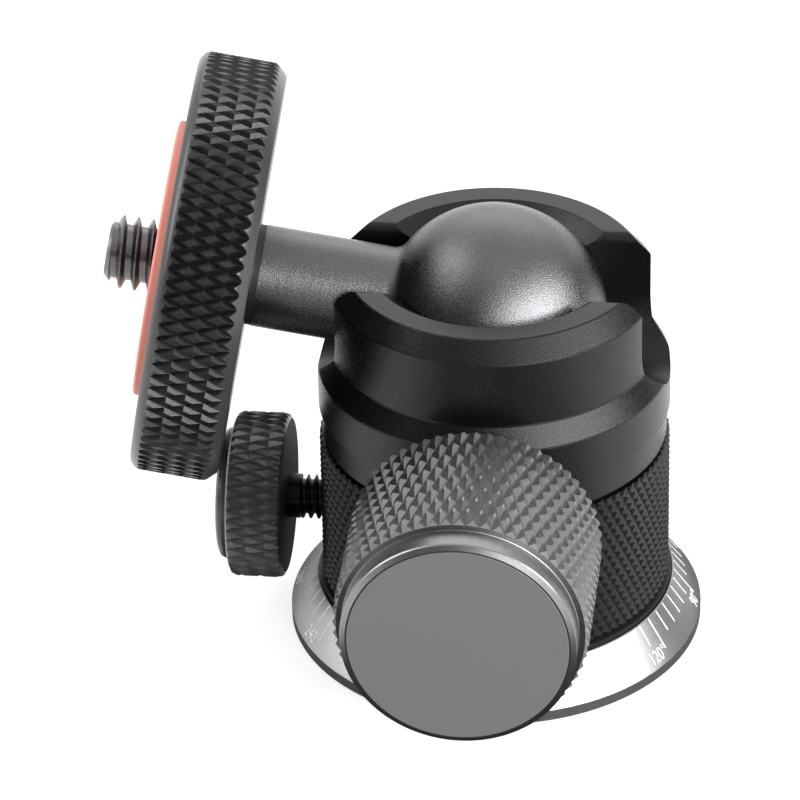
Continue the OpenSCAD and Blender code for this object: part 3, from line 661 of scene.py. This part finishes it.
# ---------------------------------------------------------------- CAD pieces that show as they are
for material, names in (
        (gunmetal, ("ball_stem",)),
        (steel, ("pan_hub", "hub_screws", "retaining_ring", "cup_spring", "lock_washer", "lock_screw",
                 "lock_knob_screw")),
        (brass, ("tripod_bush", "ball_cup", "pan_lock_pad")),
        (acetal, ("hub_washer", "cup_seat")),
        (plastic, ("pan_washer",))):
    for name in names:
        mesh = nodes[name].data
        mesh.materials.clear()
        mesh.materials.append(material)

# ---------------------------------------------------------------- studio
AZIMUTH, ELEVATION, ROLL = math.radians(6.78), math.radians(32.35), math.radians(-1.10)
DISTANCE, FOCAL_PX, FRAME_PX = 0.5, 5768.6, 800
TARGET = Vector((-0.00822, 0, 0.02125))

back = Vector((math.sin(AZIMUTH) * math.cos(ELEVATION), -math.cos(AZIMUTH) * math.cos(ELEVATION),
               math.sin(ELEVATION)))
right = Vector((math.cos(AZIMUTH), math.sin(AZIMUTH), 0))
up = back.cross(right)
camera_data = bpy.data.cameras.new("camera")
camera_data.sensor_width = 36
camera_data.lens = camera_data.sensor_width * FOCAL_PX / FRAME_PX
camera_data.clip_start = 0.01
camera = linked(bpy.data.objects.new("camera", camera_data))
side = right * math.cos(ROLL) + up * math.sin(ROLL)
rise = up * math.cos(ROLL) - right * math.sin(ROLL)
camera_turn = Matrix((side, rise, back)).transposed().to_4x4()
camera.matrix_world = Matrix.Translation(TARGET + back * DISTANCE) @ camera_turn
bpy.context.scene.camera = camera


AIM = Vector((0, 0, 0.02))


def around_aim(azimuth, elevation, distance):
    """Point at a distance from the object, in degrees about it."""
    a, e = math.radians(azimuth), math.radians(elevation)
    return AIM + distance * Vector((math.cos(a) * math.cos(e), math.sin(a) * math.cos(e), math.sin(e)))


def softbox(name, position, size, power):
    """Rectangular lamp that points at the object."""
    data = bpy.data.lights.new(name, "AREA")
    data.shape = "RECTANGLE"
    data.size, data.size_y = size
    data.energy = power
    lamp = linked(bpy.data.objects.new(name, data))
    turn = (AIM - position).to_track_quat("-Z", "Y").to_matrix().to_4x4()
    lamp.matrix_world = Matrix.Translation(position) @ turn


def rectangle(name, width, height):
    """Flat object about the origin."""
    x, y = width / 2, height / 2
    mesh = bpy.data.meshes.new(name)
    mesh.from_pydata([(-x, -y, 0), (x, -y, 0), (x, y, 0), (-x, y, 0)], [], [(0, 1, 2, 3)])
    return linked(bpy.data.objects.new(name, mesh))


def card(name, place, size, material, facing=None):
    """Studio card that only reflections see, as a photographer sets beside shiny parts; the dark one under
    the base is a painted shadow.
    """
    if facing is None:
        facing = AIM - place
    obj = rectangle(name, *size)
    turn = facing.to_track_quat("Z", "Y").to_matrix().to_4x4()
    obj.matrix_world = Matrix.Translation(place) @ turn
    obj.visible_camera = obj.visible_shadow = obj.visible_diffuse = False
    obj.data.materials.append(material)


softbox("key", around_aim(-34, 31, 0.5), (0.74, 0.2), 2.7)
softbox("strip", around_aim(-30, 20, 0.5), (0.52, 0.08), 1.2)
softbox("behind", around_aim(90, 32, 0.6), (0.5, 0.3), 0.5)
softbox("left", around_aim(-174, 27, 0.5), (0.3, 0.15), 0.6)
softbox("left_high", around_aim(176, 46, 0.5), (0.3, 0.16), 0.6)
card("card_right", around_aim(22, 8, 0.35), (0.3, 0.17), card_black)
card("card_upper", around_aim(-118, 45, 0.35), (0.4, 0.18), card_grey)
card("card_lower", around_aim(-117, 20, 0.36), (0.54, 0.19), card_black)
UPWARD = Vector((0, 0, 1))
card("card_front", Vector((0.005, -0.16, -0.00001)), (0.08, 0.28), card_black, UPWARD)
# Dark card under the base and just round it, seen only in reflections: a painted shadow standing for the
# floor's shade close round the base
card("card_floor_shadow", Vector((0, 0, -0.000015)), (0.054, 0.054), card_painted_shadow, UPWARD)

WORLD_LIGHT = 0.8


def seen(tree):
    """1 for rays that show the background: from the camera, off gloss and through glass."""
    light_path = tree.nodes.new("ShaderNodeLightPath")
    total = light_path.outputs["Is Camera Ray"]
    for kind in ("Is Glossy Ray", "Is Transmission Ray"):
        node = tree.nodes.new("ShaderNodeMath")
        node.operation = "MAXIMUM"
        tree.links.new(total, node.inputs[0])
        tree.links.new(light_path.outputs[kind], node.inputs[1])
        total = node.outputs[0]
    return total


FLOOR_SIZE, FLOOR_WHITE, FLOOR_GLOW = 6.0, 0.55, 0.6
floor = rectangle("floor", FLOOR_SIZE, FLOOR_SIZE)
floor.location.z = -0.00002
material, tree, principled, place = shader("floor_white")
tree.nodes.remove(principled)
diffuse = tree.nodes.new("ShaderNodeBsdfDiffuse")
diffuse.inputs["Color"].default_value = (FLOOR_WHITE, FLOOR_WHITE, FLOOR_WHITE, 1)
glow = tree.nodes.new("ShaderNodeEmission")
tree.links.new(seen(tree), glow.inputs["Strength"])
glow.inputs["Color"].default_value = (FLOOR_GLOW, FLOOR_GLOW, FLOOR_GLOW, 1)
add = tree.nodes.new("ShaderNodeAddShader")
tree.links.new(diffuse.outputs[0], add.inputs[0])
tree.links.new(glow.outputs[0], add.inputs[1])
tree.links.new(add.outputs[0], tree.nodes["Material Output"].inputs["Surface"])
floor.data.materials.append(material)

world = bpy.data.worlds.new("studio")
world.use_nodes = True
bpy.context.scene.world = world
tree = world.node_tree
level = tree.nodes.new("ShaderNodeMath")
level.operation = "MULTIPLY_ADD"
level.inputs[1].default_value = 1 - WORLD_LIGHT
level.inputs[2].default_value = WORLD_LIGHT
tree.links.new(seen(tree), level.inputs[0])
tree.links.new(level.outputs[0], tree.nodes["Background"].inputs["Strength"])
tree.nodes["Background"].inputs["Color"].default_value = (1, 1, 1, 1)
bpy.context.scene.view_settings.view_transform = "Standard"
